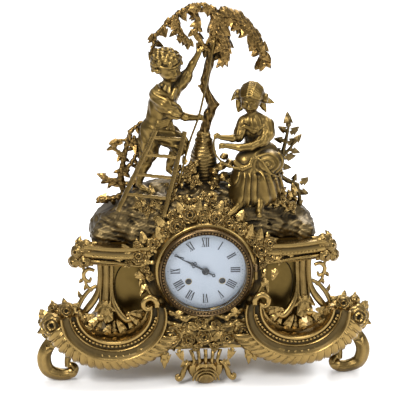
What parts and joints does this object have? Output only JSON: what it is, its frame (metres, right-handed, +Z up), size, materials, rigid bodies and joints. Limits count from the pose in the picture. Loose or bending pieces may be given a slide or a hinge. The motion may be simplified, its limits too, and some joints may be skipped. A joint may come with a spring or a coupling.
{
  "type": "figural mantel clock",
  "caption": "Gilt figural mantel clock with a round enamel dial, scrolled case, key-wound pendulum movement and a bell strike.",
  "frame": {"origin": "middle of the clock's box at the surface it stands on", "axes": "+X to the right of the dial, +Y towards the back, +Z up; the dial looks along -Y"},
  "size_m": [0.383, 0.128, 0.4341],
  "materials": {
    "gilt_bronze": "aged gilding with a dark patina in the hollows",
    "dark_gilt": "dull green-brown gilding on the rockwork",
    "movement_brass": "polished brass",
    "steel": "polished steel",
    "spring_steel": "blued steel",
    "bezel_bronze": "dark beaded bronze",
    "enamel": "fired enamel on copper",
    "hand_black": "blackened steel",
    "crystal": "clear domed glass"
  },
  "bodies": {
    "case": {"front_panel": "gilt_bronze", "rear_plate": "gilt_bronze", "side_panels": "gilt_bronze", "drum_ring": "gilt_bronze", "plinth": "gilt_bronze", "aprons": "gilt_bronze", "centre_apron": "gilt_bronze", "front_feet": "gilt_bronze", "rear_feet": "gilt_bronze", "centre_foot": "gilt_bronze", "end_castings": "gilt_bronze", "pilasters": "gilt_bronze", "cornices": "gilt_bronze", "corner_flowers": "gilt_bronze", "side_loops": "gilt_bronze", "canopy": "gilt_bronze", "ladder": "gilt_bronze", "boy_figure": "gilt_bronze", "girl_figure": "gilt_bronze", "left_vine": "gilt_bronze", "right_fence": "gilt_bronze", "garlands": "gilt_bronze", "rear_ring": "gilt_bronze", "seat_ring": "gilt_bronze", "mound": "dark_gilt", "stump": "dark_gilt", "rock_seat": "dark_gilt", "tree_trunk": "dark_gilt", "front_plate": "movement_brass", "back_plate": "movement_brass", "suspension_cock": "movement_brass", "movement_straps": "movement_brass", "figure_fixings": "steel", "bezel_hinge_pin": "steel", "bell": "steel", "dial": "enamel"},
    "minute_train": {"centre_arbor": "movement_brass", "minute_hand": "hand_black"},
    "hour_train": {"hour_wheel": "movement_brass", "hour_hand": "hand_black"},
    "motion_wheel": {"minute_wheel": "movement_brass"},
    "going_second": {"going_second_wheel": "movement_brass"},
    "going_power": {"going_barrel": "movement_brass", "going_mainspring": "spring_steel"},
    "third_arbor": {"third_wheel": "movement_brass"},
    "escape_arbor": {"escape_wheel": "movement_brass"},
    "anchor_and_crutch": {"anchor": "steel"},
    "pendulum_rod": {"pendulum": "movement_brass"},
    "lifting_arbor": {"pin_wheel": "movement_brass"},
    "strike_second": {"strike_second_wheel": "movement_brass"},
    "strike_power": {"strike_barrel": "movement_brass", "strike_mainspring": "spring_steel"},
    "fly_arbor": {"fly": "movement_brass"},
    "going_winder": {"going_winding_arbor": "steel"},
    "strike_winder": {"strike_winding_arbor": "steel"},
    "regulator": {"regulating_arbor": "steel"},
    "hammer_arm": {"hammer": "steel"},
    "bezel_door": {"bezel": "bezel_bronze", "glass": "crystal"},
    "back_door": {"rear_door": "gilt_bronze"}
  },
  "joints": [
    {"name": "minute_spin", "type": "hinge", "parent": "case", "child": "minute_train", "pos_m": [0, -0.02, 0.138], "axis": [0, 1, 0], "continuous": true},
    {"name": "hour_spin", "type": "hinge", "parent": "case", "child": "hour_train", "pos_m": [0, -0.02, 0.138], "axis": [0, 1, 0], "continuous": true},
    {"name": "motion_wheel_spin", "type": "hinge", "parent": "case", "child": "motion_wheel", "pos_m": [0, -0.02, 0.126], "axis": [0, 1, 0], "continuous": true},
    {"name": "going_second_spin", "type": "hinge", "parent": "case", "child": "going_second", "pos_m": [0.01885, -0.02, 0.1454], "axis": [0, 1, 0], "continuous": true},
    {"name": "going_barrel_spin", "type": "hinge", "parent": "case", "child": "going_power", "pos_m": [0.019, -0.02, 0.1249], "axis": [0, 1, 0], "continuous": true},
    {"name": "third_spin", "type": "hinge", "parent": "case", "child": "third_arbor", "pos_m": [-0.00159, -0.02, 0.15613], "axis": [0, 1, 0], "continuous": true},
    {"name": "escape_spin", "type": "hinge", "parent": "case", "child": "escape_arbor", "pos_m": [0, -0.02, 0.1693], "axis": [0, 1, 0], "continuous": true},
    {"name": "pendulum_swing", "type": "hinge", "parent": "case", "child": "pendulum_rod", "pos_m": [0, 0.004, 0.1845], "axis": [0, 1, 0], "range_deg": [-2.5, 2.5]},
    {"name": "anchor_rock", "type": "hinge", "parent": "case", "child": "anchor_and_crutch", "pos_m": [0, -0.02, 0.1778], "axis": [0, 1, 0], "range_deg": [-3.2, 3.2]},
    {"name": "lifting_spin", "type": "hinge", "parent": "case", "child": "lifting_arbor", "pos_m": [-0.01712, -0.02, 0.16512], "axis": [0, 1, 0], "continuous": true},
    {"name": "strike_second_spin", "type": "hinge", "parent": "case", "child": "strike_second", "pos_m": [-0.01885, -0.02, 0.1454], "axis": [0, 1, 0], "continuous": true},
    {"name": "strike_barrel_spin", "type": "hinge", "parent": "case", "child": "strike_power", "pos_m": [-0.019, -0.02, 0.1249], "axis": [0, 1, 0], "continuous": true},
    {"name": "fly_spin", "type": "hinge", "parent": "case", "child": "fly_arbor", "pos_m": [-0.00771, -0.02, 0.17123], "axis": [0, 1, 0], "continuous": true},
    {"name": "going_winding", "type": "hinge", "parent": "case", "child": "going_winder", "pos_m": [0.019, -0.02, 0.1249], "axis": [0, 1, 0], "range_deg": [0, 2520]},
    {"name": "strike_winding", "type": "hinge", "parent": "case", "child": "strike_winder", "pos_m": [-0.019, -0.02, 0.1249], "axis": [0, 1, 0], "range_deg": [0, 2520]},
    {"name": "regulating", "type": "hinge", "parent": "case", "child": "regulator", "pos_m": [0, -0.02, 0.1822], "axis": [0, 1, 0], "range_deg": [-720, 720]},
    {"name": "hammer_swing", "type": "hinge", "parent": "case", "child": "hammer_arm", "pos_m": [-0.032, -0.02, 0.16099], "axis": [0, 1, 0], "range_deg": [0, 12], "stiffness_Nm_per_rad": 0.01, "springref_deg": -11.46},
    {"name": "bezel_swing", "type": "hinge", "parent": "case", "child": "bezel_door", "pos_m": [0.0562, -0.0538, 0.138], "axis": [0, 0, 1], "range_deg": [0, 95]},
    {"name": "back_door_swing", "type": "hinge", "parent": "case", "child": "back_door", "pos_m": [0.052, 0.06145, 0.138], "axis": [0, 0, -1], "range_deg": [0, 100]}
  ],
  "couplings": [
    {"joint": "hour_spin", "follows": "minute_spin", "ratio": 0.083333},
    {"joint": "motion_wheel_spin", "follows": "minute_spin", "ratio": -0.33333},
    {"joint": "going_second_spin", "follows": "minute_spin", "ratio": -0.125},
    {"joint": "going_barrel_spin", "follows": "minute_spin", "ratio": 0.017361},
    {"joint": "third_spin", "follows": "minute_spin", "ratio": -12},
    {"joint": "escape_spin", "follows": "minute_spin", "ratio": 144},
    {"joint": "anchor_rock", "follows": "pendulum_swing", "ratio": 1.2198},
    {"joint": "strike_second_spin", "follows": "lifting_spin", "ratio": -0.1},
    {"joint": "strike_barrel_spin", "follows": "lifting_spin", "ratio": 0.013889},
    {"joint": "fly_spin", "follows": "lifting_spin", "ratio": -10}
  ]
}
